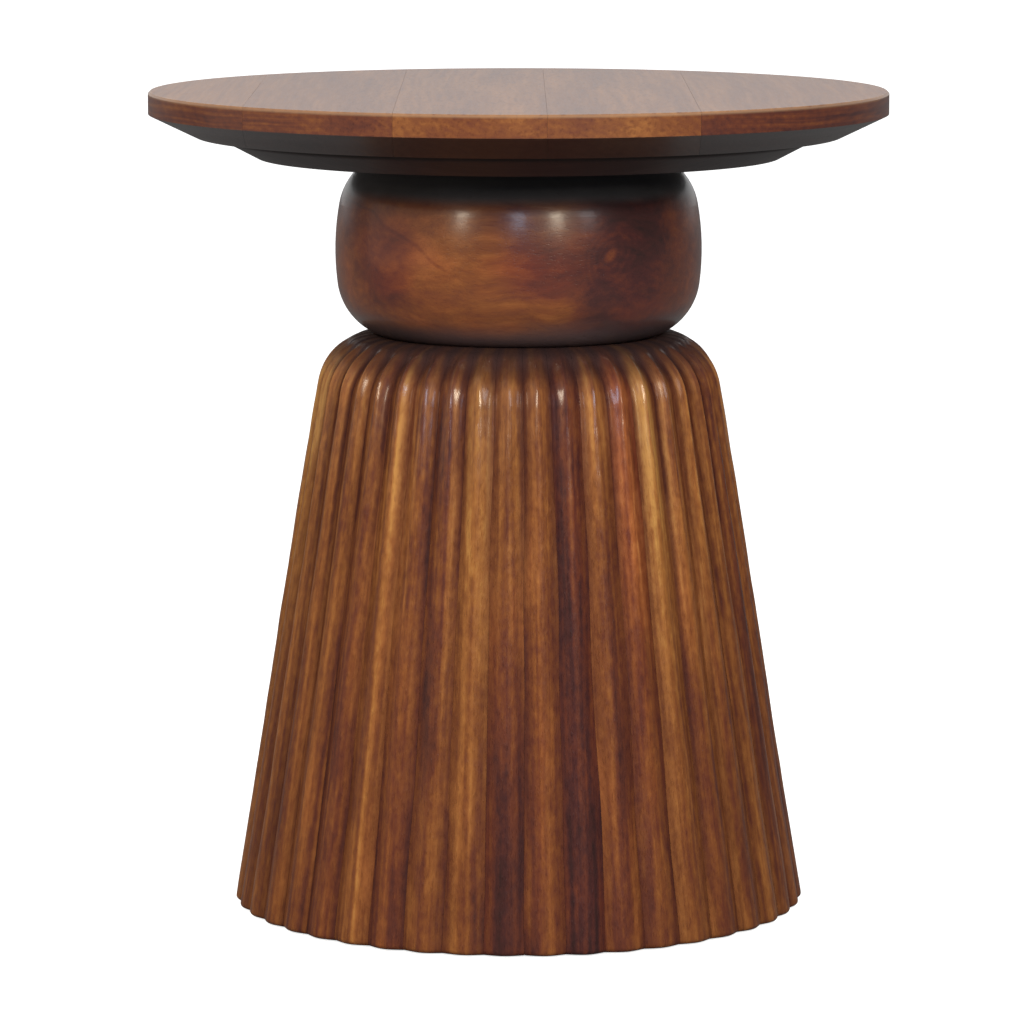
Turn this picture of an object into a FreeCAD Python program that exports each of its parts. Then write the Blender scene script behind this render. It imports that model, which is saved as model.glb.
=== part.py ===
# Round side table: a bevelled board top, a turned neck and a flared skirt of carved staves.
# Millimetres, +Z up. The origin is on the floor, below the centre of the top.
import FreeCAD, Part
import math
import os

from FreeCAD import Vector

# Stack of heights, floor to tabletop
seat_height = 349.5            # ring on which the neck stands
neck_height = 110.3
under_disc_thickness = 13.2
top_thickness = 27.0

# Tabletop, edge-glued boards running front to back
top_diameter = 450.0
top_rim_height = 13.5          # upright band of the edge, above the bevel
top_underside_diameter = 394.0
top_edge_width = 1.3           # chamfer round the upper edge
board_width = 88.0
board_joint_offset = 16.0      # one joint lies this far right of the centre
boards_right_of_joint = 2
boards_left_of_joint = 3
glue_gap = 0.1                 # thickness of a glued joint

# Disc under the top, its edge carries on the bevel
under_disc_upper_diameter = 369.0
under_disc_lower_diameter = 318.7

# Turned neck, a low drum with rounded shoulders
neck_diameter = 223.8
neck_belly_height = 53.5       # widest level, above the neck's foot
neck_belly_radius = 160.0      # radius of the slightly bowed side
neck_lower_radius = 38.0       # round between the foot and the side
neck_upper_radius = 38.5       # round between the side and the brim
neck_upper_offset = 35.2       # centre of that round, below the neck's top face

# Skirt, a flared drum of carved staves round a head disc
stave_count = 44
first_stave_turn = -2.9        # degrees from +X to the middle of the first stave
stave_thickness = 24.0
skirt_foot_diameter = 350.6
skirt_shoulder_radius = 37.5   # round between the flare and the crown
head_diameter = 184.0
head_thickness = 26.0
crown_height = 2.5             # crown of the staves, above the seat
shoulder_offset = 5.0          # centre of the shoulder round, inside the head's rim
pleat_depth_foot = 3.5
pleat_depth_shoulder = 3.0
pleat_depth_head = 1.0         # the carving runs out towards the neck
foot_edge_radius = 3.0         # round of the staves' lower front edge
foot_clearance = 1.0           # staves stop this far above the floor

# Board that closes the foot, let into a rebate in the staves
bottom_board_thickness = 12.0
rebate_wall_thickness = 14.0   # wood left outside the rebate, at the ridges
floor_pad_diameter = 24.0
floor_pad_thickness = 3.0
floor_pad_offset = 22.0        # pad centre, inside the board's edge
floor_pad_count = 8

# Tie rod through the neck, with a tee nut above and a flanged nut below
rod_diameter = 10.0
rod_chamfer = 1.0
rod_tail_length = 5.0          # thread showing below the nut
rod_head_gap = 1.0             # rod end, below the tabletop
rod_hole_clearance = 0.5
thread_clearance = 0.05
tee_nut_flange_diameter = 28.0
tee_nut_flange_thickness = 2.0
tee_nut_barrel_diameter = 13.0
tee_nut_barrel_length = 11.0
nut_flats_width = 15.0
nut_height = 8.0
nut_flange_diameter = 22.0
nut_flange_thickness = 2.5

# Locating dowels above and below the neck
dowel_diameter = 10.0
dowel_length = 24.0
dowel_ring_diameter = 100.0
dowel_count = 2
dowel_clearance = 0.1
dowel_end_gap = 0.5
dowel_chamfer = 1.0

# Countersunk wood screws
top_screw_diameter = 5.0
top_screw_head_diameter = 9.5
top_screw_length = 32.0
top_screw_ring_diameter = 250.0
top_screw_count = 8
board_screw_diameter = 4.0
board_screw_head_diameter = 8.0
board_screw_length = 28.0
staves_per_board_screw = 4
screw_tip_length = 4.0
screw_recess_length = 4.0
screw_recess_width = 1.0
screw_recess_depth = 1.2
screw_clearance = 0.05

overrun = 6.0                  # how far every cutting tool runs past its cut
level_tolerance = 0.001        # for telling an edge by its height

# Levels and radii that follow
neck_top = seat_height + neck_height
top_underside = neck_top + under_disc_thickness
table_height = top_underside + top_thickness
top_radius = top_diameter / 2
head_radius = head_diameter / 2
head_underside = seat_height - head_thickness
board_underside = floor_pad_thickness
board_top = board_underside + bottom_board_thickness
foot_radius = skirt_foot_diameter / 2
bottom_board_radius = foot_radius - rebate_wall_thickness

# Skirt meridian: a straight flare that runs tangent into the shoulder round
half_pitch = math.pi / stave_count
shoulder_r = head_radius - shoulder_offset
shoulder_z = seat_height + crown_height - skirt_shoulder_radius
foot_reach = math.hypot(foot_radius - shoulder_r, shoulder_z - foot_clearance)
flare = (math.atan2(foot_radius - shoulder_r, shoulder_z - foot_clearance)
         - math.asin(skirt_shoulder_radius / foot_reach))
flare_length = math.sqrt(foot_reach ** 2 - skirt_shoulder_radius ** 2)
shoulder_section_count = 7

# Neck meridian: three arcs, each tangent to the next
neck_radius = neck_diameter / 2
belly_r = neck_radius - neck_belly_radius
belly_z = seat_height + neck_belly_height
lower_round_z = seat_height + neck_lower_radius
upper_round_z = neck_top - neck_upper_offset


def moved(shape, x, y=0):
    """Returns a copy of a shape, shifted on the level."""
    copy = shape.copy()
    copy.translate(Vector(x, y, 0))
    return copy


def turned(shape, angle):
    """Returns a copy of a shape, turned about the table's axis by an angle in degrees."""
    copy = shape.copy()
    copy.rotate(Vector(0, 0, 0), Vector(0, 0, 1), angle)
    return copy


def rod(radius, low, high):
    """Returns an upright cylinder on the table's axis."""
    return Part.makeCylinder(radius, high - low, Vector(0, 0, low))


def lathe(points):
    """Returns the solid turned from a closed outline of (radius, height) points."""
    corners = [Vector(r, 0, z) for r, z in points]
    wire = Part.makePolygon(corners + corners[:1])
    return Part.Face(wire).revolve(Vector(0, 0, 0), Vector(0, 0, 1), 360)


def ring_places(count, radius, first_angle=0.0):
    """Returns evenly spaced places round the table's axis."""
    angles = [first_angle + 2 * math.pi * i / count for i in range(count)]
    return [(radius * math.cos(a), radius * math.sin(a)) for a in angles]


def at_places(shape, places):
    """Returns copies of an upright piece, one at each place."""
    return [moved(shape, x, y) for x, y in places]


def countersunk(diameter, head_diameter, length, low, spread=0.0):
    """Returns a wood screw driven upwards, head at the low end, or its hole when spread."""
    shank = diameter / 2 + spread
    head = head_diameter / 2 + spread
    head_depth = head_diameter / 2 - diameter / 2
    tip = low + length
    foot = low - (overrun if spread else 0)
    return lathe([(0, foot), (head, foot), (head, low), (shank, low + head_depth),
                  (shank, tip - screw_tip_length), (0, tip + spread)])


def cross_recess(low):
    """Returns the cross-shaped recess of a screw head, sunk upwards from a level."""
    corner = Vector(-screw_recess_length / 2, -screw_recess_width / 2, low - overrun)
    arm = Part.makeBox(screw_recess_length, screw_recess_width, overrun + screw_recess_depth, corner)
    return arm.fuse(turned(arm, 90))


def top_screw(spread=0.0):
    """Returns one screw that holds the top to its under disc, on the table's axis."""
    return countersunk(top_screw_diameter, top_screw_head_diameter, top_screw_length, neck_top, spread)


def board_screw(spread=0.0):
    """Returns one screw that holds the bottom board, on the table's axis."""
    return countersunk(board_screw_diameter, board_screw_head_diameter, board_screw_length,
                       board_underside, spread)


def chamfered_rod(radius, chamfer, low, high):
    """Returns an upright bar with both ends chamfered, on the table's axis."""
    return lathe([(0, low), (radius - chamfer, low), (radius, low + chamfer), (radius, high - chamfer),
                  (radius - chamfer, high), (0, high)])


def dowel_places():
    """Returns where the dowels stand, above and below the neck alike."""
    return ring_places(dowel_count, dowel_ring_diameter / 2)


def dowel_holes():
    """Returns the holes for both pairs of dowels, half in each of the pieces they join."""
    reach = dowel_length / 2 + dowel_end_gap
    holes = [rod(dowel_diameter / 2 + dowel_clearance, level - reach, level + reach)
             for level in (seat_height, neck_top)]
    return at_places(holes[0], dowel_places()) + at_places(holes[1], dowel_places())


def rod_hole():
    """Returns the bore that the tie rod runs through."""
    return rod(rod_diameter / 2 + rod_hole_clearance, head_underside - overrun, neck_top + overrun)


def screw_places():
    """Returns where the screws stand that hold the top."""
    return ring_places(top_screw_count, top_screw_ring_diameter / 2, math.pi / top_screw_count)


def make_top_slab():
    """Returns the whole round top before it is split into boards."""
    rim_foot = table_height - top_rim_height
    rim_head = table_height - top_edge_width
    return lathe([(0, top_underside), (top_underside_diameter / 2, top_underside), (top_radius, rim_foot),
                  (top_radius, rim_head), (top_radius - top_edge_width, table_height), (0, table_height)])


def make_top_boards():
    """Returns the boards of the top, from left to right."""
    slab = make_top_slab().cut(at_places(top_screw(screw_clearance), screw_places()))
    boards = []
    for i in range(-boards_left_of_joint, boards_right_of_joint):
        left = board_joint_offset + i * board_width + glue_gap / 2
        right = left + board_width - glue_gap
        if i == -boards_left_of_joint:
            left = -top_radius - overrun
        if i == boards_right_of_joint - 1:
            right = top_radius + overrun
        cutter = Part.makeBox(right - left, top_diameter + 2 * overrun, top_thickness + 2 * overrun,
                              Vector(left, -top_radius - overrun, top_underside - overrun))
        boards.append(slab.common(cutter))
    return boards


def make_under_disc():
    """Returns the disc that carries the top on the neck."""
    disc = lathe([(0, neck_top), (under_disc_lower_diameter / 2, neck_top),
                  (under_disc_upper_diameter / 2, top_underside), (0, top_underside)])
    flange = rod(tee_nut_flange_diameter / 2 + glue_gap,
                 top_underside - tee_nut_flange_thickness - glue_gap, top_underside + overrun)
    barrel = rod(tee_nut_barrel_diameter / 2 + glue_gap, neck_top - overrun, top_underside)
    screws = at_places(top_screw(screw_clearance), screw_places())
    return disc.cut([flange, barrel] + screws + dowel_holes())


def tangent_round(centre_z, radius):
    """Returns a round's centre radius and the point where it leaves the neck's bowed side."""
    reach = neck_belly_radius - radius
    centre_r = belly_r + math.sqrt(reach ** 2 - (centre_z - belly_z) ** 2)
    share = neck_belly_radius / reach
    return centre_r, belly_r + share * (centre_r - belly_r), belly_z + share * (centre_z - belly_z)


def on_round(centre_r, centre_z, radius, angle):
    """Returns the point of a round in the meridian plane at an angle in radians."""
    return Vector(centre_r + radius * math.cos(angle), 0, centre_z + radius * math.sin(angle))


def make_neck():
    """Returns the turned neck, bored for the tie rod and its dowels."""
    low_r, low_join_r, low_join_z = tangent_round(lower_round_z, neck_lower_radius)
    high_r, high_join_r, high_join_z = tangent_round(upper_round_z, neck_upper_radius)
    low_angle = math.atan2(low_join_z - lower_round_z, low_join_r - low_r)
    high_angle = math.atan2(high_join_z - upper_round_z, high_join_r - high_r)
    top_angle = math.asin(neck_upper_offset / neck_upper_radius)
    foot = Vector(low_r, 0, seat_height)
    low_middle = on_round(low_r, lower_round_z, neck_lower_radius, (low_angle - math.pi / 2) / 2)
    low_join = Vector(low_join_r, 0, low_join_z)
    belly = Vector(neck_radius, 0, belly_z)
    high_join = Vector(high_join_r, 0, high_join_z)
    high_middle = on_round(high_r, upper_round_z, neck_upper_radius, (high_angle + top_angle) / 2)
    brim = on_round(high_r, upper_round_z, neck_upper_radius, top_angle)
    base_centre = Vector(0, 0, seat_height)
    top_centre = Vector(0, 0, neck_top)
    edges = [Part.makeLine(base_centre, foot),
             Part.Arc(foot, low_middle, low_join).toShape(),
             Part.Arc(low_join, belly, high_join).toShape(),
             Part.Arc(high_join, high_middle, brim).toShape(),
             Part.makeLine(brim, top_centre),
             Part.makeLine(top_centre, base_centre)]
    drum = Part.Face(Part.Wire(edges)).revolve(Vector(0, 0, 0), Vector(0, 0, 1), 360)
    return drum.cut([rod_hole()] + dowel_holes())


def make_head():
    """Returns the disc that closes the skirt and seats the neck."""
    disc = rod(head_radius, head_underside, seat_height)
    return disc.cut([rod_hole()] + dowel_holes())


def stave_point(ridge_r, ridge_z, tilt, depth, side):
    """Returns a point under a stave's ridge; side is -1 or 1 for its edges, 0 for its middle."""
    x = ridge_r - depth * math.cos(tilt)
    z = ridge_z - depth * math.sin(tilt)
    y = side * (x * math.tan(half_pitch) - glue_gap / 2 / math.cos(half_pitch))
    return Vector(x, y, z)


def stave_section(ridge_r, ridge_z, tilt, pleat_depth):
    """Returns a stave's outline in the plane square to its ridge: a rounded front, flat sides and back."""
    inner = [stave_point(ridge_r, ridge_z, tilt, stave_thickness, side) for side in (-1, 1)]
    valley = [stave_point(ridge_r, ridge_z, tilt, pleat_depth, side) for side in (-1, 1)]
    ridge = stave_point(ridge_r, ridge_z, tilt, 0, 0)
    return Part.Wire([Part.makeLine(inner[0], inner[1]),
                      Part.makeLine(inner[1], valley[1]),
                      Part.Arc(valley[1], ridge, valley[0]).toShape(),
                      Part.makeLine(valley[0], inner[0])])


def make_stave():
    """Returns the stave on the +X side: flared length, carved shoulder, cut foot, rebate and head seat."""
    spring_r = shoulder_r + skirt_shoulder_radius * math.cos(flare)
    spring_z = shoulder_z + skirt_shoulder_radius * math.sin(flare)
    run = flare_length + overrun
    spring = stave_section(spring_r, spring_z, flare, pleat_depth_shoulder)
    foot = stave_section(spring_r + run * math.sin(flare), spring_z - run * math.cos(flare), flare,
                         pleat_depth_foot)
    length = Part.makeLoft([foot, spring], True, True)
    sections = []
    for i in range(shoulder_section_count):
        share = i / (shoulder_section_count - 1)
        tilt = flare + share * (math.pi / 2 - flare)
        depth = pleat_depth_shoulder + share * (pleat_depth_head - pleat_depth_shoulder)
        sections.append(stave_section(shoulder_r + skirt_shoulder_radius * math.cos(tilt),
                                      shoulder_z + skirt_shoulder_radius * math.sin(tilt), tilt, depth))
    shoulder = Part.makeLoft(sections, True, False)
    below_foot = rod(foot_radius + overrun, -2 * overrun, foot_clearance)
    rebate = rod(bottom_board_radius + glue_gap, -overrun, board_top)
    head_seat = rod(head_radius + glue_gap, head_underside - skirt_shoulder_radius, seat_height + overrun)
    stave = length.fuse(shoulder).cut([below_foot, rebate, head_seat])
    foot_edges = [edge for edge in stave.Edges
                  if abs(edge.CenterOfMass.z - foot_clearance) < level_tolerance]
    front = max(foot_edges, key=lambda edge: edge.CenterOfMass.x)
    return stave.makeFillet(foot_edge_radius, [front]).Solids[0]


def board_screw_ring():
    """Returns the radius at which the bottom board's screws stand, mid-way on the rebate's shoulder."""
    drop = shoulder_z + skirt_shoulder_radius * math.sin(flare) - board_top
    ridge_r = shoulder_r + skirt_shoulder_radius * math.cos(flare) + drop * math.tan(flare)
    inner_r = ridge_r - stave_thickness / math.cos(flare)
    return (inner_r + bottom_board_radius) / 2


def make_bottom_board():
    """Returns the round board that closes the foot of the skirt."""
    board = rod(bottom_board_radius, board_underside, board_top)
    holes = at_places(board_screw(screw_clearance), board_screw_places())
    return board.cut(holes)


def stave_angle(k):
    """Returns the angle in degrees at which a stave stands, counted from 0."""
    return first_stave_turn + math.degrees(2 * half_pitch * k)


def board_screw_places():
    """Returns where the bottom board's screws stand, each below the middle of a stave."""
    ring = board_screw_ring()
    angles = [math.radians(stave_angle(k)) for k in range(0, stave_count, staves_per_board_screw)]
    return [(ring * math.cos(a), ring * math.sin(a)) for a in angles]


def make_staves():
    """Returns all staves, counted anticlockwise from the +X side."""
    plain = make_stave()
    bored = plain.cut(moved(board_screw(screw_clearance), board_screw_ring()))
    staves = []
    for k in range(stave_count):
        stave = plain if k % staves_per_board_screw else bored
        staves.append(turned(stave, stave_angle(k)))
    return staves


def make_tie_rod():
    """Returns the threaded rod as a bevelled bar of its outside size."""
    low = head_underside - nut_height - rod_tail_length
    return chamfered_rod(rod_diameter / 2, rod_chamfer, low, top_underside - rod_head_gap)


def make_tee_nut():
    """Returns the flanged sleeve nut in the under disc."""
    flange = rod(tee_nut_flange_diameter / 2, top_underside - tee_nut_flange_thickness, top_underside)
    barrel = rod(tee_nut_barrel_diameter / 2, top_underside - tee_nut_barrel_length, top_underside)
    bore = rod(rod_diameter / 2 + thread_clearance, neck_top - overrun, top_underside + overrun)
    return flange.fuse(barrel).cut(bore).removeSplitter()


def make_rod_nut():
    """Returns the flanged hexagon nut below the head."""
    flat_radius = nut_flats_width / 2 / math.cos(math.pi / 6)
    corners = [Vector(flat_radius * math.cos(i * math.pi / 3), flat_radius * math.sin(i * math.pi / 3),
                      head_underside - nut_height) for i in range(6)]
    hexagon = Part.Face(Part.makePolygon(corners + corners[:1])).extrude(Vector(0, 0, nut_height))
    flange = rod(nut_flange_diameter / 2, head_underside - nut_flange_thickness, head_underside)
    bore = rod(rod_diameter / 2 + thread_clearance, head_underside - nut_height - overrun,
               head_underside + overrun)
    return hexagon.fuse(flange).cut(bore)


def make_dowels():
    """Returns the dowels above and below the neck."""
    pins = []
    for level in (seat_height, neck_top):
        pin = chamfered_rod(dowel_diameter / 2, dowel_chamfer, level - dowel_length / 2,
                            level + dowel_length / 2)
        pins += at_places(pin, dowel_places())
    return Part.makeCompound(pins)


def make_top_screws():
    """Returns the screws that hold the top to its under disc."""
    return Part.makeCompound(at_places(top_screw().cut(cross_recess(neck_top)), screw_places()))


def make_board_screws():
    """Returns the screws that hold the bottom board."""
    screw = board_screw().cut(cross_recess(board_underside))
    return Part.makeCompound(at_places(screw, board_screw_places()))


def make_floor_pads():
    """Returns the felt pads that the table stands on."""
    pad = rod(floor_pad_diameter / 2, 0, floor_pad_thickness)
    ring = bottom_board_radius - floor_pad_offset
    return Part.makeCompound(at_places(pad, ring_places(floor_pad_count, ring, math.pi / floor_pad_count)))


def save(name, shape):
    """Writes one piece and prints its size."""
    shape.exportStep("parts/" + name + ".step")
    box = shape.BoundBox
    print(name, "solids", len(shape.Solids), "valid", shape.isValid(), "volume", round(shape.Volume),
          "z", round(box.ZMin, 2), round(box.ZMax, 2))


def main():
    os.makedirs("parts", exist_ok=True)
    for i, board in enumerate(make_top_boards()):
        save("top_board_%d" % (i + 1), board)
    save("under_disc", make_under_disc())
    save("neck_drum", make_neck())
    save("skirt_head", make_head())
    for k, stave in enumerate(make_staves()):
        save("skirt_stave_%02d" % (k + 1), stave)
    save("bottom_board", make_bottom_board())
    save("tie_rod", make_tie_rod())
    save("tee_nut", make_tee_nut())
    save("rod_nut", make_rod_nut())
    save("neck_dowels", make_dowels())
    save("top_screws", make_top_screws())
    save("board_screws", make_board_screws())
    save("floor_pads", make_floor_pads())


main()
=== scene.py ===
import math
import random

import bpy
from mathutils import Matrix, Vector, noise


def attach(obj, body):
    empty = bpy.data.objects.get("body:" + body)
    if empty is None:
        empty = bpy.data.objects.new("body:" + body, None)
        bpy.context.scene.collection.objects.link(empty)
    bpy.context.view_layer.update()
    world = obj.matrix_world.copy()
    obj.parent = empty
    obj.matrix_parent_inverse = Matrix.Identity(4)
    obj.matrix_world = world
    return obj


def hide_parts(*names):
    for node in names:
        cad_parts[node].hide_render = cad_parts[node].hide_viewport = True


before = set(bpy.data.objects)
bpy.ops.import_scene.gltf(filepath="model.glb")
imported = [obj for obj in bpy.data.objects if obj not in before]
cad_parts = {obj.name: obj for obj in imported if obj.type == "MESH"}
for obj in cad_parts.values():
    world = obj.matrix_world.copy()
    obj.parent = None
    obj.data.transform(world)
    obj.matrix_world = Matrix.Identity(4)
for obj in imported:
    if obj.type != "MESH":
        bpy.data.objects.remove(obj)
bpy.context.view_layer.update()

MM = 0.001                     # one millimetre in Blender's metres

# Skirt of carved staves, sizes in millimetres
STAVE_COUNT = 44
FIRST_STAVE_TURN = math.radians(-2.9)      # from +X to the middle of the first stave
STAVE_THICKNESS = 24.0
GLUE_GAP = 0.1
SHOULDER_CENTRE_R = 87.0
SHOULDER_CENTRE_Z = 314.5
SHOULDER_RADIUS = 37.5
FLARE = math.radians(9.151)    # lean of the straight part from the vertical
HEAD_SEAT_RADIUS = 92.1
FOOT_LEVEL = 1.0
FOOT_EDGE_RADIUS = 3.0
REBATE_RADIUS = 161.4          # seat of the bottom board, inside the foot
REBATE_LEVEL = 15.0
PLEAT_DEPTH_FOOT = 3.5
PLEAT_DEPTH_SHOULDER = 4.0

# How a stave is carved, in millimetres along it and in its depth
ACROSS_COUNT = 17
STATION_GAP = 3.0
HEAD_ZONE = 14.0               # finer stations where the gouge enters
HEAD_STATION_GAP = 0.9
FOOT_STATION_COUNT = 6
REBATE_STEP = 0.4              # the back steps in to the rebate over this length
REBATE_PLAY = 0.1              # rings up to this far above the seat have the rebate's back
SCOOP_START = 8.0              # plain ring left round the neck
SCOOP_LENGTH = 12.0            # the valley reaches its depth over this length
LAP_LENGTH = 4.6               # the ring laps this far over the skirt's head, up to the neck
LAP_DEPTH = 2.0
LAP_STEP = 0.05                # the back steps out to its full depth over this length
LIP_DROP = 0.2                 # the ring's inner edge is eased by this much
LIP_LENGTH = 3.0
SHOULDER_EASE = 0.35           # the shoulder is shaved a little flatter between these levels
EASE_LEVELS = (298.0, 322.0, 326.0, 345.0)
ARCH_HEAD = 0.0                # share of arched face at the head, the rest is a soft wave
ARCH_FOOT = 0.6
ARCH_POWER = 2.1
WAVE_POWER_HEAD = 0.62         # below 1 the ridges are narrow and the valleys broad
WAVE_POWER_FOOT = 1.0
HAND_WAVER = 0.8               # sideways wander of a valley
HAND_DEPTH = 0.35              # unevenness of a ridge or valley
TOOL_MARKS = 0.12              # short unevenness along a ridge
WAVER_LENGTH = 80.0            # how far one wave of each reaches along the wood
VALLEY_WAVE_LENGTH = 50.0
RIDGE_WAVE_LENGTH = 60.0
TOOL_MARK_LENGTH = 17.0
WANDER_POWER = 3               # above 1 a wander stays near the valley
SETTLE_LENGTH = 25.0           # the unevenness sets in over this length from the head
NOISE_STRETCH = 1.8            # brings the noise to about -1 to 1
SHARP_ANGLE = math.radians(32)
BACK_GROOVE = 0.4              # share of groove finish on a stave's hidden back
STAVE_SEED = 900
TONE_SEED = 41

# Tone and redness of the stained boards, as they were picked
TONES = {
    "plum": (0.29, 0.50),
    "peat": (0.31, 0.45),
    "maroon": (0.36, 0.70),
    "umber": (0.42, 0.40),
    "russet": (0.48, 0.85),
    "brown": (0.51, 0.40),
    "honey": (0.57, 0.35),
    "gold": (0.66, 0.25),
}
# Head and foot of each stave on the viewer's side
FRONT_STAVES = {
    23: ("gold", "gold"), 24: ("gold", "gold"), 25: ("gold", "honey"),
    26: ("honey", "honey"), 27: ("brown", "honey"), 28: ("honey", "brown"),
    29: ("brown", "umber"), 30: ("honey", "honey"), 31: ("brown", "umber"),
    32: ("umber", "honey"), 33: ("gold", "honey"), 34: ("honey", "peat"),
    35: ("brown", "umber"), 36: ("plum", "plum"), 37: ("brown", "umber"),
    38: ("russet", "brown"), 39: ("gold", "honey"), 40: ("brown", "brown"),
    41: ("brown", "honey"), 42: ("brown", "honey"), 43: ("umber", "brown"),
    44: ("brown", "brown"),
}
BACK_TONES = ("maroon", "umber", "umber", "russet", "brown",
              "brown", "brown", "honey", "honey", "gold")

# The top's boards from left to right: tone, how much paler the face is, the pith's offset and
# level in metres
TOP_BOARDS = [
    (0.39, 0.22, 0.10, 0.54),
    (0.39, 0.19, -0.03, 0.40),
    (0.54, 0.06, 0.02, 0.55),
    (0.54, 0.06, -0.04, 0.41),
    (0.33, 0.27, 0.03, 0.56),
]
FIRST_BOARD_X = -0.2
BOARD_PITCH = 0.088
BOARD_GRAIN_STEP = 0.7         # each board is cut this much further along the grain
PITH_DEPTH = 0.06              # of the pieces cut from the solid, behind their middle
RING_DENSITY = 1500.0          # radians per metre: one year ring every 4.2 mm

# Stain colours from dark to light: place on the ramp, red, green, blue
CHESTNUT = [
    (0.00, 0.036, 0.016, 0.016),
    (0.18, 0.068, 0.022, 0.020),
    (0.38, 0.136, 0.039, 0.021),
    (0.55, 0.215, 0.072, 0.023),
    (0.75, 0.340, 0.132, 0.036),
    (1.00, 0.520, 0.258, 0.070),
]
# the dark stain's colours also serve as painted shade below the top's rim
SMOKED_AND_SHADE = [
    (0.00, 0.013, 0.010, 0.012),
    (0.50, 0.034, 0.024, 0.026),
    (1.00, 0.080, 0.052, 0.052),
]
BARE_BEECH = [
    (0.00, 0.330, 0.190, 0.095),
    (0.50, 0.520, 0.350, 0.200),
    (1.00, 0.680, 0.500, 0.320),
]
THIN_STAIN = [
    (0.00, 0.110, 0.055, 0.028),
    (0.50, 0.270, 0.150, 0.075),
    (1.00, 0.430, 0.270, 0.150),
]

# What gathered stain and painted shade, pores and flecks do to a colour; then tints for a painted
# contact shadow, the neck's painted shadow and shade, and redder or greener wood
STAIN_AND_PAINTED_SHADE = (0.38, 0.29, 0.42)
PORE_SHADE = (0.45, 0.36, 0.40)
FLECK_SHADE = (0.48, 0.38, 0.42)
CONTACT_SHADOW_TINT = (0.20, 0.18, 0.18)
NECK_SHOULDER_PAINTED_SHADOW = (0.34, 0.33, 0.40)
NECK_FLANK_PAINTED_SHADE = (0.34, 0.42, 0.48)
REDDER = (1.05, 0.80, 0.92)
NECK_REDDER = (1.05, 0.82, 0.98)
GREENER = (0.96, 1.08, 0.95)

# Plain colours
# dark stain with painted shade below the neck
CROWN_STAIN_AND_SHADE = (0.042, 0.019, 0.018, 1)
# painted shadow at the ring by the neck
NECK_RING_PAINTED_SHADOW = (0.022, 0.013, 0.014, 1)
# painted highlight along the top's upper edge
EDGE_PAINTED_HIGHLIGHT = (0.46, 0.30, 0.18, 1)
# painted light: a grey for the shaded crevice at the neck's foot
NECK_FOOT_PAINTED_LIGHT = (0.150, 0.106, 0.110, 1)
# painted shadow at the neck's top, under the table top
NECK_CROWN_PAINTED_SHADOW = (0.056, 0.056, 0.062, 1)
# painted light: a paler grey at the neck's seat, against the darkening shade there
NECK_SEAT_PAINTED_LIGHT = (0.130, 0.130, 0.142, 1)
ZINC_DULL, ZINC_BRIGHT = (0.50, 0.51, 0.52, 1), (0.62, 0.63, 0.63, 1)
FELT_DARK, FELT_PALE = (0.070, 0.050, 0.040, 1), (0.140, 0.105, 0.085, 1)

# Levels between which a finish changes, in metres above the floor
UPPER_SKIRT = (0.12, 0.30)     # painted light makes it paler; its grain is livelier
DEEP_STAIN_AND_SHADE = (0.18, 0.30)      # stain and painted shade grow darker in the valleys
GLOSSY_CRESTS = (0.25, 0.31)
# painted shade in the valleys at the shoulder
SHOULDER_PAINTED_SHADE = (0.322, 0.340)
CROWN = (0.3270, 0.3450)       # dark stain and painted shade below the neck
NECK_RING = (0.3440, 0.3500)   # matt, with a nearly black painted shadow
# painted light and shade at the neck's foot
NECK_FOOT = (0.3550, 0.3710)
# painted shadow at the neck's shoulder and crown, painted light at its seat
NECK_SHOULDER = (0.4280, 0.4400)
NECK_CROWN = (0.4360, 0.4440)
NECK_SEAT = (0.4430, 0.4520)
UNDER_JOINT_SHADOW = (0.4685, 0.4712)     # painted contact shadow along the joint between the under disc and the top
BEVEL_GLOSS = (0.4770, 0.4850)
RIM_FOOT = (0.4859, 0.4871)    # painted shade below the upright rim, in the dark stain's colours
# painted highlight along the top's upper edge, between these levels
EDGE_HIGHLIGHT_LEVEL = (0.4974, 0.4990)
TOP_FACE = (0.4990, 0.4996)

# Distances from the middle between which a finish changes, in metres
# painted shade darkens the neck's foot towards these flanks
NECK_FLANK = (0.03, 0.08)
RIM_FLANK = (0.08, 0.16)
FLECKED_RIM = (0.08, 0.14)
# reach of the painted highlight along the top's edge
EDGE_HIGHLIGHT_REACH = (0.2222, 0.2240)

# The viewer's camera: place in metres, tilt in degrees, lens and sensor in millimetres
CAMERA_PLACE = (-0.004, -3.1745, 0.7005)
CAMERA_TILT = 81.756
CAMERA_LENS = 183.3
SENSOR_WIDTH = 36.0

# Softboxes: azimuth from the viewer's side to the right, elevation, width, height, watts, colour
SOFTBOXES = {
    "softbox_left": (-36, 23, 0.20, 0.84, 17, (1.0, 0.85, 0.66)),
    "softbox_front": (0, 23, 0.26, 0.84, 10, (0.52, 0.74, 1.0)),
    "softbox_right": (24, 23, 0.24, 0.84, 22, (1.0, 0.87, 0.67)),
    "softbox_far_right": (44, 23, 0.34, 0.84, 6, (0.96, 0.97, 1.0)),
    "softbox_far_left": (-80, 20, 2.40, 2.20, 10, (1.0, 0.84, 0.66)),
}
LAMP_AIM = Vector((0, 0, 0.36))
LAMP_DISTANCE = 2.2

# The white sweep behind the table and the soft light above it
GLOSS_ROUND, GLOSS_BEHIND = 0.11, 0.75
SOFT_ROUND, SOFT_ABOVE = 0.10, 0.52
FLOOR_REACH = 30.0
FLOOR_PALE, FLOOR_PLAIN = (0.90, 0.90, 0.90, 1), (0.10, 0.10, 0.10, 1)
FLOOR_GLOW = 0.80
FLOOR_GLOSS = 0.11             # share of the bright floor that a gloss reflects
WHITE = (1, 1, 1, 1)


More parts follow.
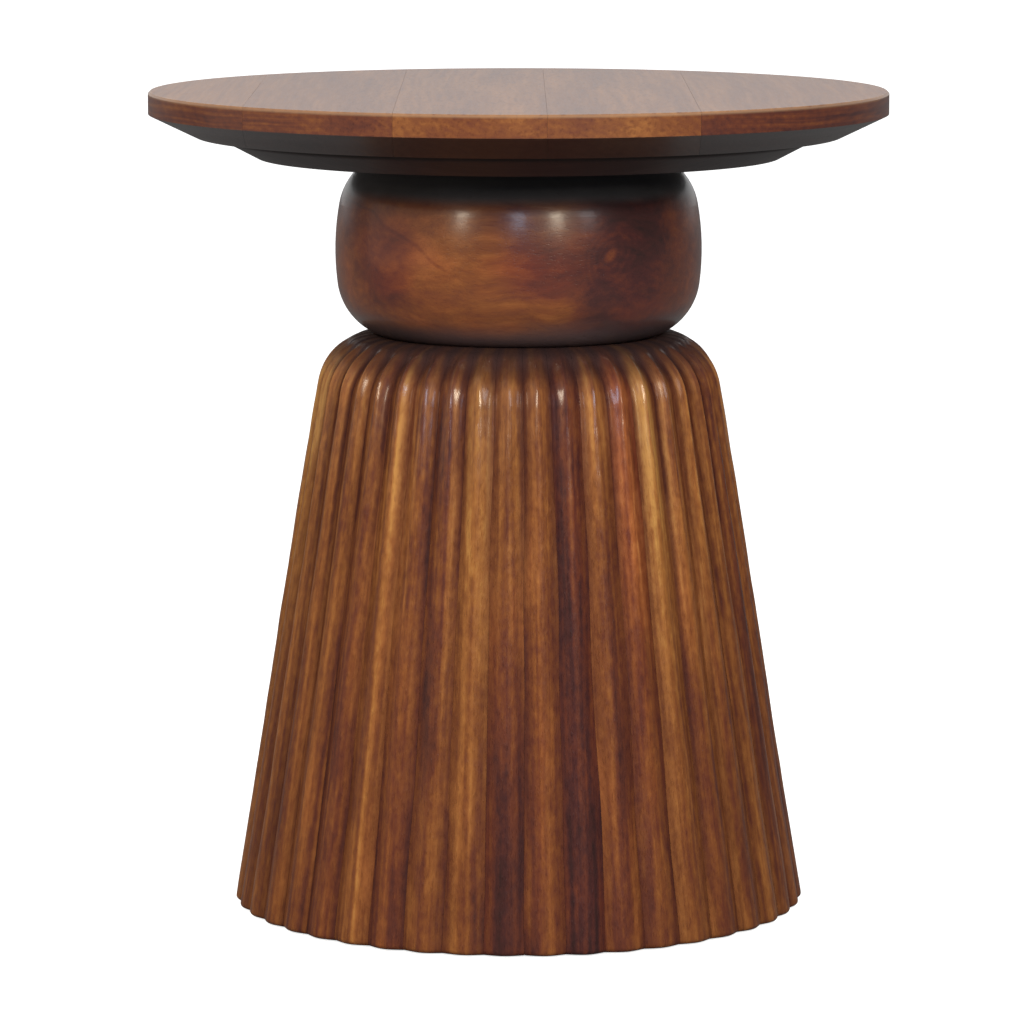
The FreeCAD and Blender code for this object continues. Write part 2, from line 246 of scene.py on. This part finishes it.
class Wire:
    """A value that varies over a surface. Arithmetic on it adds Math nodes to its finish."""

    def __init__(self, finish, socket):
        self.finish = finish
        self.socket = socket

    def math(self, operation, *others):
        values = dict(enumerate((self,) + others))
        return self.finish.node("ShaderNodeMath", {"operation": operation}, values)

    def reflected(self, operation, other):
        return self.finish.node("ShaderNodeMath", {"operation": operation}, {0: other, 1: self})

    def __add__(self, other):
        return self.math("ADD", other)

    def __radd__(self, other):
        return self.reflected("ADD", other)

    def __sub__(self, other):
        return self.math("SUBTRACT", other)

    def __rsub__(self, other):
        return self.reflected("SUBTRACT", other)

    def __mul__(self, other):
        return self.math("MULTIPLY", other)

    def __rmul__(self, other):
        return self.reflected("MULTIPLY", other)

    def __truediv__(self, other):
        return self.math("DIVIDE", other)

    def __pow__(self, other):
        return self.math("POWER", other)


class Finish:
    """The nodes of one material, or of the studio round the table."""

    def __init__(self, tree):
        self.tree = tree
        tree.nodes.clear()

    def node(self, kind, settings, values, output=0):
        """Adds a node: its settings first, then the value or the link of each socket."""
        made = self.tree.nodes.new(kind)
        for name, value in settings.items():
            if name == "stops":
                lay_stops(made.color_ramp, value)
            else:
                setattr(made, name, value)
        for name, value in values.items():
            if isinstance(value, Wire):
                self.tree.links.new(value.socket, made.inputs[name])
            else:
                made.inputs[name].default_value = value
        return Wire(self, made.outputs[output]) if made.outputs else made

    def place(self):
        """Returns the place on the object, in metres."""
        return self.node("ShaderNodeTexCoord", {}, {}, output="Object")

    def attribute(self, name, output="Fac"):
        return self.node("ShaderNodeAttribute", {"attribute_name": name}, {}, output=output)

    def axis(self, place, letter):
        return self.node("ShaderNodeSeparateXYZ", {}, {0: place}, output="XYZ".index(letter))

    def stretched(self, place, x, y, z):
        """Returns a place scaled along its axes, in features per metre."""
        values = {0: place, 1: (x, y, z)}
        return self.node("ShaderNodeVectorMath", {"operation": "MULTIPLY"}, values)

    def cloud(self, place, detail=2.0, roughness=0.5):
        """Returns soft noise round 0."""
        values = {"Vector": place, "Scale": 1.0, "Detail": detail, "Roughness": roughness}
        return self.node("ShaderNodeTexNoise", {}, values) - 0.5

    def drifted(self, place, features, reach):
        """Returns a place pushed about by slow noise, up to about half the reach in metres."""
        values = {"Vector": place, "Scale": features, "Detail": 2.0}
        push = self.node("ShaderNodeTexNoise", {}, values, output="Color")
        return self.node("ShaderNodeVectorMath", {"operation": "MULTIPLY_ADD"},
                         {0: push, 1: (reach, reach, reach), 2: place})

    def step(self, value, low, high):
        """Returns a smooth step of a value, from 0 at low to 1 at high."""
        settings = {"interpolation_type": "SMOOTHSTEP"}
        values = {0: value, 1: low, 2: high, 3: 0.0, 4: 1.0}
        return self.node("ShaderNodeMapRange", settings, values)

    def pores(self, place, x, y, z, low=0.08, high=0.20):
        """Returns short flecks, 1 inside and 0 between them, in features per metre."""
        return self.step(self.cloud(self.stretched(place, x, y, z), 1.0), low, high)

    def year_rings(self, across, deep, wobble):
        """Returns the waves of the year rings round the pith."""
        return (distance(across, deep) * RING_DENSITY + wobble * 4.0).math("SINE")

    def patch(self, x, z, centre, reach):
        """Returns 1 inside an oval patch, fading to 0 at its edge."""
        across = (x - centre[0]) / reach[0]
        up = (z - centre[1]) / reach[1]
        return 1.0 - self.step(distance(across, up), 0.3, 1.0)

    def ramp(self, value, stops):
        return self.node("ShaderNodeValToRGB", {"stops": stops}, {0: value})

    def mix(self, share, first, second):
        values = {0: share, 6: first, 7: second}
        return self.node("ShaderNodeMix", {"data_type": "RGBA"}, values, output=2)

    def tinted(self, share, colour, tint):
        """Returns a colour multiplied by a tint, as far as the share says."""
        settings = {"data_type": "RGBA", "blend_type": "MULTIPLY"}
        values = {0: share, 6: colour, 7: tint + (1.0,)}
        return self.node("ShaderNodeMix", settings, values, output=2)

    def bumped(self, height, relief):
        values = {"Height": height, "Distance": relief, "Strength": 1.0}
        return self.node("ShaderNodeBump", {}, values)

    def close(self, surface, kind="ShaderNodeOutputMaterial"):
        self.node(kind, {}, {"Surface": surface})


def distance(across, up):
    """Returns how far a spot lies from 0, 0."""
    return (across * across + up * up) ** 0.5


def lay_stops(ramp, stops):
    """Sets a colour ramp's stops from (place, red, green, blue)."""
    while len(ramp.elements) < len(stops):
        ramp.elements.new(1.0)
    for element, (place, red, green, blue) in zip(ramp.elements, stops):
        element.position = place
        element.color = (red, green, blue, 1.0)


def new_material(name):
    material = bpy.data.materials.new(name)
    material.use_nodes = True
    return material, Finish(material.node_tree)


def lacquer(f, colour, roughness, height, relief, coat, coat_roughness=0.16, ior=1.35):
    """Ends a wood's nodes in satin lacquer over its colour and relief."""
    values = {"Base Color": colour, "Roughness": roughness, "IOR": ior,
              "Normal": f.bumped(height, relief),
              "Coat Weight": coat, "Coat Roughness": coat_roughness, "Coat IOR": 1.45}
    f.close(f.node("ShaderNodeBsdfPrincipled", {}, values))


def carved_wood():
    """Stained wood of the skirt; each stave carries its own grain, tone and rings as attributes."""
    material, f = new_material("carved_stave_wood")
    grain = f.attribute("grain", "Vector")
    redness = f.attribute("redness")
    broad = f.cloud(f.stretched(grain, 120, 120, 3.0))
    streak = f.cloud(f.stretched(grain, 310, 310, 5.0))
    ripple = f.cloud(f.stretched(grain, 290, 290, 130.0))
    gouged = f.cloud(f.stretched(grain, 190, 190, 110.0))
    fibre = f.cloud(f.stretched(grain, 1500, 1500, 50.0))
    mottle = f.cloud(f.stretched(grain, 44, 44, 12.0), 3.0, 0.6)
    speck = f.cloud(f.stretched(grain, 900, 900, 330.0))
    pores = f.pores(grain, 1300, 1300, 190.0)
    rings = ((f.attribute("ring") + mottle * 5.0 + streak * 2.0) * 1.75).math("SINE")
    height_up = f.axis(f.place(), "Z")
    upper = f.step(height_up, *UPPER_SKIRT)
    # painted light: the upper skirt is paler (upper * 0.14), and its grain livelier
    level = (f.attribute("tone") + broad * 0.75 + streak * (0.46 + upper * 0.18)
             + ripple * (0.34 + upper * 0.10) + mottle * (0.56 + upper * 0.14)
             + fibre * 0.05 + speck * 0.11 + rings * 0.04 + upper * 0.14 - 0.027)
    colour = f.ramp(level, CHESTNUT)
    reddish = redness + mottle * 0.8 + broad * 0.7
    colour = f.tinted(f.step(reddish, 0.35, 1.0), colour, REDDER)
    colour = f.tinted(1.0 - f.step(reddish, -0.1, 0.4), colour, GREENER)
    groove = f.attribute("groove")
    valley = f.step(groove + broad * 0.6, 0.32, 0.98)
    # stain and painted shade darken the valleys, more so higher up
    valley_stain_and_shade = valley * (0.46 + f.step(height_up, *DEEP_STAIN_AND_SHADE) * 0.52)
    colour = f.tinted(valley_stain_and_shade, colour, STAIN_AND_PAINTED_SHADE)
    # painted shade in the valleys at the shoulder
    colour = f.tinted(valley * f.step(height_up, *SHOULDER_PAINTED_SHADE) * 0.6, colour, STAIN_AND_PAINTED_SHADE)
    colour = f.tinted(pores * 0.14, colour, STAIN_AND_PAINTED_SHADE)
    darkened_up = height_up + streak * 0.006
    # dark stain with painted shade below the neck
    crown = f.step(darkened_up, *CROWN)
    # matt ring with a nearly black painted shadow by the neck
    matt_and_shadow = f.step(darkened_up, *NECK_RING)
    colour = f.mix(crown * (0.80 + valley * 0.16), colour, CROWN_STAIN_AND_SHADE)
    colour = f.mix(matt_and_shadow * 0.65, colour, NECK_RING_PAINTED_SHADOW)
    height = gouged * 1.5 + streak * 0.35 + fibre * 0.4 + speck * 0.4 - pores * 0.5
    roughness = 0.36 + speck * 0.2 + mottle * 0.15 + matt_and_shadow * 0.35 + valley * 0.2
    crest = 1.0 - f.step(groove, 0.35, 0.85)
    gloss = 0.12 + f.step(height_up, *GLOSSY_CRESTS) * 0.48
    coat = (1.0 - matt_and_shadow) * (0.06 + crest * gloss)
    lacquer(f, colour, roughness, height, 0.00025, coat, coat_roughness=0.17, ior=1.2)
    return material


def solid_wood(name, stops, tone, turn, gloss):
    """Wood cut from the solid; its fibres run along the turned Z axis, its rings round the pith."""
    material, f = new_material(name)
    place = f.node("ShaderNodeMapping", {}, {"Vector": f.place(), "Rotation": turn})
    spot = f.drifted(place, 7.0, 0.012)
    broad = f.cloud(f.stretched(spot, 60, 60, 3.0))
    streak = f.cloud(f.stretched(spot, 330, 330, 8.0), 3.0, 0.6)
    fibre = f.cloud(f.stretched(spot, 1300, 1300, 45.0))
    pores = f.pores(spot, 1100, 1100, 150.0)
    rings = f.year_rings(f.axis(spot, "X"), f.axis(spot, "Y") - PITH_DEPTH, broad)
    level = tone + broad * 0.7 + streak * 0.6 + fibre * 0.4 + rings * 0.05
    colour = f.tinted(pores * 0.5, f.ramp(level, stops), PORE_SHADE)
    roughness = 0.34 + fibre * 0.2 + (1.0 - gloss) * 0.4
    height = streak * 0.35 + fibre * 0.5 - pores * 0.6
    lacquer(f, colour, roughness, height, 0.00015, 0.2 * gloss)
    return material


def top_wood(name, tone, lift, number, pith):
    """Wood of one top board, fibres front to back: painted shade below its rim, in the dark stain's
    colours, and a painted highlight along its upper edge.
    """
    material, f = new_material(name)
    place = f.place()
    x, y, z = f.axis(place, "X"), f.axis(place, "Y"), f.axis(place, "Z")
    values = {0: place, 1: (0.0, BOARD_GRAIN_STEP * number, 0.0)}
    spot = f.drifted(f.node("ShaderNodeVectorMath", {}, values), 7.0, 0.012)
    broad = f.cloud(f.stretched(spot, 34, 3.0, 60))
    streak = f.cloud(f.stretched(spot, 260, 8.0, 330))
    fibre = f.cloud(f.stretched(spot, 1100, 45.0, 1300))
    fleck = f.pores(spot, 420, 60.0, 420, 0.06, 0.16)
    rings = f.year_rings(f.axis(spot, "X") - pith[0], f.axis(spot, "Z") - pith[1], broad)
    off_centre = x.math("ABSOLUTE")
    side = f.step(off_centre, *RIM_FLANK)
    face = f.step(z, *TOP_FACE)
    band = f.cloud(f.stretched(spot, 9.0, 9.0, 480)) * side * (1.0 - face)
    level = (tone + broad * (0.45 - side * 0.15) + streak * 0.32 + band * 0.55
             + fibre * 0.14 + rings * 0.02 + face * lift)
    fleck = fleck * (1.0 - f.step(off_centre, *FLECKED_RIM) * 0.8)
    colour = f.tinted(fleck * 0.36, f.ramp(level, CHESTNUT), FLECK_SHADE)
    # painted shade of the underside below the rim, in the dark stain's colours
    painted_underside_shade = f.mix(0.10, f.ramp(level, SMOKED_AND_SHADE), colour)
    colour = f.mix((1.0 - f.step(z, *RIM_FOOT)) * 0.95, colour, painted_underside_shade)
    # painted highlight along the upper edge
    painted_edge_highlight = f.step(distance(x, y) + streak * 0.004, *EDGE_HIGHLIGHT_REACH) * f.step(z, *EDGE_HIGHLIGHT_LEVEL)
    colour = f.mix(painted_edge_highlight * 0.44, colour, EDGE_PAINTED_HIGHLIGHT)
    height = streak * 0.3 + fibre * 0.2 - fleck * 0.3
    coat = 0.04 + f.step(z, *BEVEL_GLOSS) * 0.16
    lacquer(f, colour, 0.36 + fibre * 0.08, height, 0.00004, coat)
    return material


def under_disc_wood():
    """Smoked wood of the disc under the top, with a painted contact shadow along the joint above
    it.
    """
    material, f = new_material("under_disc_wood")
    place = f.place()
    streak = f.cloud(f.stretched(place, 8.0, 330, 330), 3.0, 0.6)
    level = 0.5 + f.cloud(f.stretched(place, 3.0, 60, 60)) * 0.7 + streak * 0.5
    # painted contact shadow along the joint with the top
    joint = f.step(f.axis(place, "Z"), *UNDER_JOINT_SHADOW)
    colour = f.tinted(joint * 0.9, f.ramp(level, SMOKED_AND_SHADE), CONTACT_SHADOW_TINT)
    lacquer(f, colour, 0.46 + joint * 0.3, streak, 0.0001, 0.05 - joint * 0.05)
    return material


def turned_wood():
    """The neck's wood: level grain, dark with a knot on the right, paler low in the middle; painted
    light and shade at its foot, painted shadow at its top.
    """
    material, f = new_material("turned_neck_wood")
    place = f.place()
    spot = f.drifted(place, 14.0, 0.030)
    x, z = f.axis(spot, "X") - 0.015, f.axis(spot, "Z") - 0.015
    front = f.step(f.axis(place, "Y"), 0.03, -0.02)
    broad = f.cloud(f.stretched(spot, 14, 30, 42), 3.0, 0.6)
    streak = f.cloud(f.stretched(spot, 40, 200, 240), 3.0, 0.6)
    fibre = f.cloud(f.stretched(spot, 130, 1300, 1300))
    pores = f.pores(spot, 210, 1200, 1200)
    knot = distance(x - 0.057, (z - 0.403) * 0.7)
    swirl = (knot * RING_DENSITY + broad * 9.0).math("SINE") * (1.0 - f.step(knot, 0.004, 0.026))
    heart = (1.0 - f.step(knot, 0.001, 0.005)) * 0.22
    dark_board = f.step(x, 0.022, 0.056) * 0.30 + f.step(x, 0.080, 0.096) * -0.20
    red_patch = f.patch(x, z, (-0.078, 0.402), (0.022, 0.036)) * 0.11
    low_band = f.patch(x, z, (0.004, 0.374), (0.090, 0.014)) * 0.10
    pale_side = f.patch(x, z, (-0.034, 0.404), (0.045, 0.036)) * 0.11
    dark_spot = f.patch(x, z, (0.014, 0.399), (0.034, 0.026)) * 0.13
    vein = ((z - 0.426) + (x + 0.084) * 0.634) * 850.0
    dark_vein = (f.step(vein, -1.6, -0.2) * (1.0 - f.step(vein, 0.2, 1.6))
                 * (1.0 - f.step(x, -0.05, -0.03)))
    figure = (low_band + pale_side + heart - dark_board - red_patch - dark_spot
              - dark_vein * 0.10 + swirl * 0.035)
    level = 0.48 + broad * 0.8 + streak * 0.36 + fibre * 0.12 + front * figure
    colour = f.ramp(level, CHESTNUT)
    reddish = 0.50 + broad * 1.6 + front * (red_patch * 4.0 + dark_spot * 2.0)
    colour = f.tinted(f.step(reddish, 0.2, 1.0), colour, NECK_REDDER)
    up = f.axis(place, "Z") + broad * 0.006
    # painted light and shade at the foot: a grey for the shaded crevice, darker at the flanks
    foot = 1.0 - f.step(up, *NECK_FOOT)
    flank = f.step(f.axis(place, "X").math("ABSOLUTE"), *NECK_FLANK)
    colour = f.mix(foot * 0.95, colour, NECK_FOOT_PAINTED_LIGHT)
    colour = f.tinted(foot * flank * 0.8, colour, NECK_FLANK_PAINTED_SHADE)
    # painted shadow of the top at the neck's shoulder and crown; a paler painted grey at the seat
    colour = f.tinted(f.step(up, *NECK_SHOULDER) * 0.8, colour, NECK_SHOULDER_PAINTED_SHADOW)
    colour = f.mix(f.step(up, *NECK_CROWN) * 0.96, colour, NECK_CROWN_PAINTED_SHADOW)
    colour = f.mix(f.step(up, *NECK_SEAT) * 0.96, colour, NECK_SEAT_PAINTED_LIGHT)
    colour = f.tinted(pores * 0.2, colour, PORE_SHADE)
    height = streak * 0.25 + fibre * 0.2 - pores * 0.3
    lacquer(f, colour, 0.32 + fibre * 0.1, height, 0.0001, 0.34, coat_roughness=0.17)
    return material


def zinc_steel():
    """Zinc-plated hardware, faintly blotched."""
    material, f = new_material("zinc_steel")
    blotch = f.cloud(f.stretched(f.place(), 240, 240, 240), 3.0, 0.6)
    colour = f.mix(f.step(blotch, -0.2, 0.2), ZINC_DULL, ZINC_BRIGHT)
    values = {"Base Color": colour, "Metallic": 1.0, "Roughness": 0.36 + blotch * 0.3,
              "Normal": f.bumped(blotch, 0.00002)}
    f.close(f.node("ShaderNodeBsdfPrincipled", {}, values))
    return material


def pad_felt():
    """Pressed brown felt."""
    material, f = new_material("pad_felt")
    fuzz = f.cloud(f.stretched(f.place(), 1600, 1600, 1600), 4.0, 0.7)
    colour = f.mix(f.step(fuzz, -0.2, 0.2), FELT_DARK, FELT_PALE)
    values = {"Base Color": colour, "Roughness": 0.95, "Sheen Weight": 0.3,
              "Normal": f.bumped(fuzz, 0.0003)}
    f.close(f.node("ShaderNodeBsdfPrincipled", {}, values))
    return material


def waver(seed, along, reach):
    """Returns a slow random wander, from about -1 to 1, at a distance along the wood."""
    spot = Vector((seed * 7.31 + 0.5, along / reach, 0.37))
    return noise.noise(spot) * NOISE_STRETCH


def ridge_stations():
    """Returns a ridge's stations, head to foot, as (run, radius, height, lean, section's lean)."""
    top_lean = math.acos((HEAD_SEAT_RADIUS - SHOULDER_CENTRE_R) / SHOULDER_RADIUS)
    arc = SHOULDER_RADIUS * (top_lean - FLARE)
    spring_r = SHOULDER_CENTRE_R + SHOULDER_RADIUS * math.cos(FLARE)
    spring_z = SHOULDER_CENTRE_Z + SHOULDER_RADIUS * math.sin(FLARE)
    total = arc + (spring_z - FOOT_LEVEL) / math.cos(FLARE)
    foot_zone = FOOT_EDGE_RADIUS / math.cos(FLARE)
    head_count = round(HEAD_ZONE / HEAD_STATION_GAP)
    body = total - foot_zone - HEAD_ZONE
    body_count = round(body / STATION_GAP)
    runs = [-LAP_LENGTH, -LAP_LENGTH / 2, -LAP_STEP]
    runs += [HEAD_ZONE * i / head_count for i in range(head_count)]
    runs += [HEAD_ZONE + body * i / body_count for i in range(body_count + 1)]
    for i in range(1, FOOT_STATION_COUNT + 1):
        runs.append(total - foot_zone * (1 - math.sin(math.pi / 2 / FOOT_STATION_COUNT * i)))
    rebate_run = total - (REBATE_LEVEL - FOOT_LEVEL) / math.cos(FLARE)
    stations = []
    for run in sorted(runs + [rebate_run - REBATE_STEP, rebate_run]):
        if run < arc:
            lean = top_lean - run / SHOULDER_RADIUS
            section = lean + (math.pi / 2 - top_lean) * (1 - run / arc) ** 2
            r = SHOULDER_CENTRE_R + SHOULDER_RADIUS * math.cos(lean)
            z = SHOULDER_CENTRE_Z + SHOULDER_RADIUS * math.sin(lean)
        else:
            lean = FLARE
            section = FLARE * (total - run) / (total - arc)
            r = spring_r + (run - arc) * math.sin(FLARE)
            z = spring_z - (run - arc) * math.cos(FLARE)
        stations.append((run, r, z, lean, section))
    return stations


STATIONS = ridge_stations()
RIDGE_LENGTH = STATIONS[-1][0]


def smooth(value):
    """Returns a smooth step of a value, from 0 at 0 to 1 at 1."""
    value = min(1.0, max(0.0, value))
    return value * value * (3 - 2 * value)


def stave_ring(k, station):
    """Returns one ring of a stave as (across, depth below the ridge, wander, groove share)."""
    run, r, z, lean, section = station
    carve = PLEAT_DEPTH_SHOULDER + (PLEAT_DEPTH_FOOT - PLEAT_DEPTH_SHOULDER) * run / RIDGE_LENGTH
    carve *= smooth((run - SCOOP_START) / SCOOP_LENGTH) / math.cos(section - lean)
    arch = ARCH_HEAD + (ARCH_FOOT - ARCH_HEAD) * run / RIDGE_LENGTH
    power = WAVE_POWER_HEAD + (WAVE_POWER_FOOT - WAVE_POWER_HEAD) * smooth(2 * run / RIDGE_LENGTH)
    settle = min(1.0, max(0.0, run / SETTLE_LENGTH))
    proud = settle * (HAND_DEPTH * waver(k + 0.3, run, RIDGE_WAVE_LENGTH)
                      + TOOL_MARKS * waver(k + 0.7, run, TOOL_MARK_LENGTH))
    above = min(z - FOOT_LEVEL, FOOT_EDGE_RADIUS)
    tuck = FOOT_EDGE_RADIUS - math.sqrt(FOOT_EDGE_RADIUS ** 2 - (FOOT_EDGE_RADIUS - above) ** 2)
    tuck += LIP_DROP * max(0.0, 1 - (run + LAP_LENGTH) / LIP_LENGTH) ** 2
    low, full, fading, high = EASE_LEVELS
    tuck += SHOULDER_EASE * smooth((z - low) / (full - low)) * smooth((high - z) / (high - fading))
    wander, deepen = {}, {}
    for side, border in ((-1, k), (1, k % STAVE_COUNT + 1)):
        wander[side] = HAND_WAVER * settle * waver(border, run, WAVER_LENGTH)
        deepen[side] = HAND_DEPTH * settle * waver(border + 0.5, run, VALLEY_WAVE_LENGTH)
    ring = []
    for i in range(ACROSS_COUNT):
        u = -1 + 2 * i / (ACROSS_COUNT - 1)
        side = 1 if u > 0 else -1
        wave = (1 - math.cos(math.pi * u)) / 2
        bow = arch * abs(u) ** ARCH_POWER + (1 - arch) * wave ** power
        depth = (carve + deepen[side]) * bow - proud * (1 - bow) + tuck
        ring.append((u, depth, abs(u) ** WANDER_POWER * wander[side], abs(u)))
    back = STAVE_THICKNESS / math.cos(section - lean)
    if run < 0:
        back = LAP_DEPTH
    if z < REBATE_LEVEL + REBATE_PLAY:
        back = (r - REBATE_RADIUS) / math.cos(section)
    ring.append((1.0, back, wander[1], BACK_GROOVE))
    ring.append((-1.0, back, wander[-1], BACK_GROOVE))
    return ring


def stave_mesh(k, head_word, foot_word):
    """Builds one carved stave as a closed tube of rings, with its grain and tone along it."""
    dice = random.Random(STAVE_SEED + k)
    half_pitch = math.pi / STAVE_COUNT
    angle = FIRST_STAVE_TURN + 2 * half_pitch * (k - 1)
    board = Vector([dice.uniform(-3, 3) for _ in range(3)])
    turn = dice.uniform(-0.9, 0.9)
    pith = (dice.uniform(-14, 14), dice.uniform(18, 55))
    pith_lean = (dice.uniform(-0.04, 0.04), dice.uniform(-0.05, 0.05))
    head_tone, head_redness = TONES[head_word]
    foot_tone, foot_redness = TONES[foot_word]
    verts, grain, tones, rednesses, rings, grooves = [], [], [], [], [], []
    for station in STATIONS:
        run, r, z, lean, section = station
        share = smooth(run / RIDGE_LENGTH)
        for u, depth, wander, groove in stave_ring(k, station):
            x = r - depth * math.cos(section)
            up = z - depth * math.sin(section)
            y = u * (x * math.tan(half_pitch) - GLUE_GAP / 2 / math.cos(half_pitch)) + wander
            verts.append((MM * (x * math.cos(angle) - y * math.sin(angle)),
                          MM * (x * math.sin(angle) + y * math.cos(angle)), MM * up))
            side = y * math.cos(turn) + depth * math.sin(turn)
            deep = depth * math.cos(turn) - y * math.sin(turn)
            grain.append(Vector((side, deep, run)) * MM + board)
            rings.append(math.hypot(side - pith[0] - pith_lean[0] * run,
                                    deep - pith[1] - pith_lean[1] * run))
            tones.append(head_tone + (foot_tone - head_tone) * share)
            rednesses.append(head_redness + (foot_redness - head_redness) * share)
            grooves.append(groove)
    width = ACROSS_COUNT + 2
    faces = []
    for j in range(len(STATIONS) - 1):
        for i in range(width):
            a, b = j * width + i, j * width + (i + 1) % width
            faces.append((a, b, b + width, a + width))
    last = (len(STATIONS) - 1) * width
    faces.append(tuple(reversed(range(width))))
    faces.append(tuple(range(last, last + width)))
    mesh = bpy.data.meshes.new("carved_stave_%02d" % k)
    mesh.from_pydata(verts, [], faces)
    lay = mesh.attributes.new("grain", "FLOAT_VECTOR", "POINT")
    lay.data.foreach_set("vector", [part for spot in grain for part in spot])
    laid = {"tone": tones, "redness": rednesses, "ring": rings, "groove": grooves}
    for name, numbers in laid.items():
        mesh.attributes.new(name, "FLOAT", "POINT").data.foreach_set("value", numbers)
    mesh.shade_smooth()
    mesh.set_sharp_from_angle(angle=SHARP_ANGLE)
    return mesh


def build_skirt():
    """Makes the carved staves; each takes the place of its plain one."""
    wood = carved_wood()
    dice = random.Random(TONE_SEED)
    for k in range(1, STAVE_COUNT + 1):
        picked = (dice.choice(BACK_TONES), dice.choice(BACK_TONES))
        mesh = stave_mesh(k, *FRONT_STAVES.get(k, picked))
        mesh.materials.append(wood)
        piece = bpy.data.objects.new("carved_stave_%02d" % k, mesh)
        bpy.context.scene.collection.objects.link(piece)
        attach(piece, "root")
        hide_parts("skirt_stave_%02d" % k)


def dress(nodes, material):
    """Gives carried-over pieces their finish."""
    for node in nodes:
        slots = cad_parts[node].data.materials
        slots.clear()
        slots.append(material)


def dress_frame():
    """Finishes every piece that keeps its shape from the frame."""
    side_to_side = (0.0, math.radians(90), 0.0)
    upright = (0.0, 0.0, 0.0)
    for i, (tone, lift, pith_x, pith_z) in enumerate(TOP_BOARDS):
        pith = (FIRST_BOARD_X + BOARD_PITCH * i + pith_x, pith_z)
        wood = top_wood("top_board_wood_%d" % (i + 1), tone, lift, i, pith)
        dress(["top_board_%d" % (i + 1)], wood)
    dress(["under_disc"], under_disc_wood())
    dress(["neck_drum"], turned_wood())
    # the head's low tone is painted shade in the gap round the neck's foot
    dress(["skirt_head"], solid_wood("head_wood", CHESTNUT, 0.1, side_to_side, 0.0))
    dress(["bottom_board"], solid_wood("bottom_board_wood", THIN_STAIN, 0.5, side_to_side, 0.2))
    dress(["neck_dowels"], solid_wood("dowel_beech", BARE_BEECH, 0.5, upright, 0.0))
    dress(["tie_rod", "tee_nut", "rod_nut", "top_screws", "board_screws"], zinc_steel())
    dress(["floor_pads"], pad_felt())


def make_camera():
    """Sets the viewer's camera, a little above the table and looking down on it."""
    camera = bpy.data.cameras.new("camera")
    camera.sensor_width = SENSOR_WIDTH
    camera.lens = CAMERA_LENS
    stand = bpy.data.objects.new("camera", camera)
    stand.location = CAMERA_PLACE
    stand.rotation_euler = (math.radians(CAMERA_TILT), 0.0, 0.0)
    bpy.context.scene.collection.objects.link(stand)
    bpy.context.scene.camera = stand


def make_lamp(name, azimuth, elevation, width, height, watts, colour):
    """Hangs one softbox, turned to the table; its angles are in degrees."""
    light = bpy.data.lights.new(name, "AREA")
    light.shape = "RECTANGLE"
    light.size = width
    light.size_y = height
    light.energy = watts
    light.color = colour
    lamp = bpy.data.objects.new(name, light)
    a, e = math.radians(azimuth), math.radians(elevation)
    heading = Vector((math.sin(a) * math.cos(e), -math.cos(a) * math.cos(e), math.sin(e)))
    lamp.location = LAMP_AIM + LAMP_DISTANCE * heading
    lamp.rotation_euler = heading.to_track_quat("Z", "Y").to_euler()
    lamp.visible_camera = False
    bpy.context.scene.collection.objects.link(lamp)


def ray(f, kind):
    return f.node("ShaderNodeLightPath", {}, {}, output="Is %s Ray" % kind)


def in_view(f):
    """Returns 1 for what the viewer sees, straight or through glass, and 0 for the rest."""
    return ray(f, "Camera").math("MAXIMUM", ray(f, "Transmission"))


def make_sweep():
    """White for the viewer and in gloss behind the table, plain soft light from above."""
    world = bpy.data.worlds.new("sweep")
    world.use_nodes = True
    bpy.context.scene.world = world
    f = Finish(world.node_tree)
    heading = f.node("ShaderNodeTexCoord", {}, {}, output="Generated")
    behind = GLOSS_ROUND + GLOSS_BEHIND * f.step(f.axis(heading, "Y"), 0.5, 1.0)
    overhead = SOFT_ROUND + SOFT_ABOVE * f.step(f.axis(heading, "Z"), 0.15, 0.75)
    seen = in_view(f)
    gloss = ray(f, "Glossy")
    strength = seen + (1.0 - seen) * (gloss * behind + (1.0 - gloss) * overhead)
    light = f.node("ShaderNodeBackground", {}, {"Color": WHITE, "Strength": strength})
    f.close(light, "ShaderNodeOutputWorld")


def make_floor():
    """Pale floor that keeps the table's shadow."""
    mesh = bpy.data.meshes.new("floor")
    signs = ((-1, -1), (1, -1), (1, 1), (-1, 1))
    corners = [(FLOOR_REACH * x, FLOOR_REACH * y, 0) for x, y in signs]
    mesh.from_pydata(corners, [], [(0, 1, 2, 3)])
    floor = bpy.data.objects.new("floor", mesh)
    bpy.context.scene.collection.objects.link(floor)
    material, f = new_material("pale_floor")
    seen = in_view(f)
    pale = f.node("ShaderNodeBsdfDiffuse", {}, {"Color": FLOOR_PALE})
    glow = f.node("ShaderNodeEmission", {}, {"Color": WHITE, "Strength": FLOOR_GLOW})
    bright = f.node("ShaderNodeAddShader", {}, {0: pale, 1: glow})
    plain = f.node("ShaderNodeBsdfDiffuse", {}, {"Color": FLOOR_PLAIN})
    share = seen + (1.0 - seen) * ray(f, "Glossy") * FLOOR_GLOSS
    f.close(f.node("ShaderNodeMixShader", {}, {0: share, 1: plain, 2: bright}))
    mesh.materials.append(material)


def make_lamps():
    """Hangs the softboxes, warm and cool in turn; the far left one is large and weak."""
    for name, settings in SOFTBOXES.items():
        make_lamp(name, *settings)


bpy.context.scene.view_settings.view_transform = "Standard"
make_camera()
build_skirt()
dress_frame()
make_sweep()
make_floor()
make_lamps()
